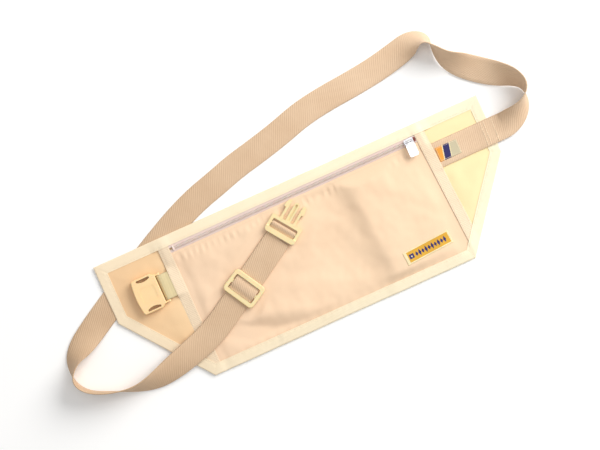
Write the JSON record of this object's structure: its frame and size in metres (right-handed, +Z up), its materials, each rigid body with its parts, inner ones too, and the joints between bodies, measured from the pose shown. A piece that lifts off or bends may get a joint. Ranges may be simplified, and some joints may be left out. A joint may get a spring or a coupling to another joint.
{
  "type": "money belt",
  "caption": "Flat hexagonal zipped pocket worn at the waist on a webbing strap with a tri-glide and a side-release buckle.",
  "frame": {"origin": "on the resting surface, under the middle of the pocket", "axes": "+X along the pocket towards the end where the strap is sewn on, +Y towards the zip, +Z up out of the pocket's front"},
  "size_m": [0.5023, 0.2212, 0.0257],
  "materials": {
    "lining_cloth": "plain-woven cream nylon",
    "pocket_cloth": "fine peach-beige nylon",
    "binding_tape": "ribbed cream binding tape",
    "zip_tape": "mauve-grey herringbone tape",
    "zip_coil": "moulded nylon coil",
    "stop_metal": "pressed stops",
    "slider_metal": "nickel-plated zinc",
    "socket_plastic": "moulded acetal",
    "buckle_plastic": "moulded acetal",
    "loop_webbing": "ribbed webbing",
    "strap_webbing": "twill-faced webbing",
    "label_cloth": "woven label"
  },
  "bodies": {
    "pouch": {"back_panel": "lining_cloth", "front_panel": "pocket_cloth", "edge_binding": "binding_tape", "seam_tape_left": "binding_tape", "seam_tape_right": "binding_tape", "zip_tape_upper": "zip_tape", "zip_tape_lower": "zip_tape", "zip_coil_upper": "zip_coil", "zip_coil_lower": "zip_coil", "zip_top_stops": "stop_metal", "zip_bottom_stop": "stop_metal", "front_label": "label_cloth", "strap_label": "label_cloth", "socket_web_loop": "loop_webbing", "strap_anchor": "strap_webbing", "strap_run": "strap_webbing", "strap_return": "strap_webbing"},
    "slider": {"zip_slider": "slider_metal"},
    "pull_tab": {"zip_pull_tab": "slider_metal"},
    "socket": {"buckle_socket": "socket_plastic"},
    "glide": {"tri_glide": "buckle_plastic", "glide_web_fold": "strap_webbing"},
    "plug": {"buckle_plug": "buckle_plastic", "plug_web_fold": "strap_webbing"},
    "prong_left": {"plug_prong_left": "buckle_plastic"},
    "prong_right": {"plug_prong_right": "buckle_plastic"}
  },
  "joints": [
    {"name": "zip_slide", "type": "slide", "parent": "pouch", "child": "slider", "axis": [1, 0, 0], "range_m": [-0.236, 0], "deforming": ["zip_coil_upper", "zip_coil_lower"]},
    {"name": "pull_tab_swing", "type": "hinge", "parent": "slider", "child": "pull_tab", "pos_m": [0.1215, 0.056, 0.0089], "axis": [-1, 0, 0], "range_deg": [0, 180]},
    {"name": "socket_tilt", "type": "hinge", "parent": "pouch", "child": "socket", "pos_m": [-0.1444, 0.026, 0.00515], "axis": [0, 1, 0], "range_deg": [0, 80]},
    {"name": "glide_slide", "type": "slide", "parent": "pouch", "child": "glide", "axis": [0.8704, 0.4924, 0], "range_m": [-0.024, 0.024], "deforming": ["strap_return"]},
    {"name": "plug_lift", "type": "hinge", "parent": "pouch", "child": "plug", "pos_m": [-0.02727, 0.02398, 0.00695], "axis": [0.5807, -0.8141, 0], "range_deg": [0, 75]},
    {"name": "prong_left_squeeze", "type": "hinge", "parent": "plug", "child": "prong_left", "pos_m": [-0.0166, 0.04019, 0.0063], "axis": [0, 0, -1], "range_deg": [0, 6], "stiffness_Nm_per_rad": 0.6},
    {"name": "prong_right_squeeze", "type": "hinge", "parent": "plug", "child": "prong_right", "pos_m": [-0.00847, 0.02879, 0.0063], "axis": [0, 0, 1], "range_deg": [0, 6], "stiffness_Nm_per_rad": 0.6}
  ]
}
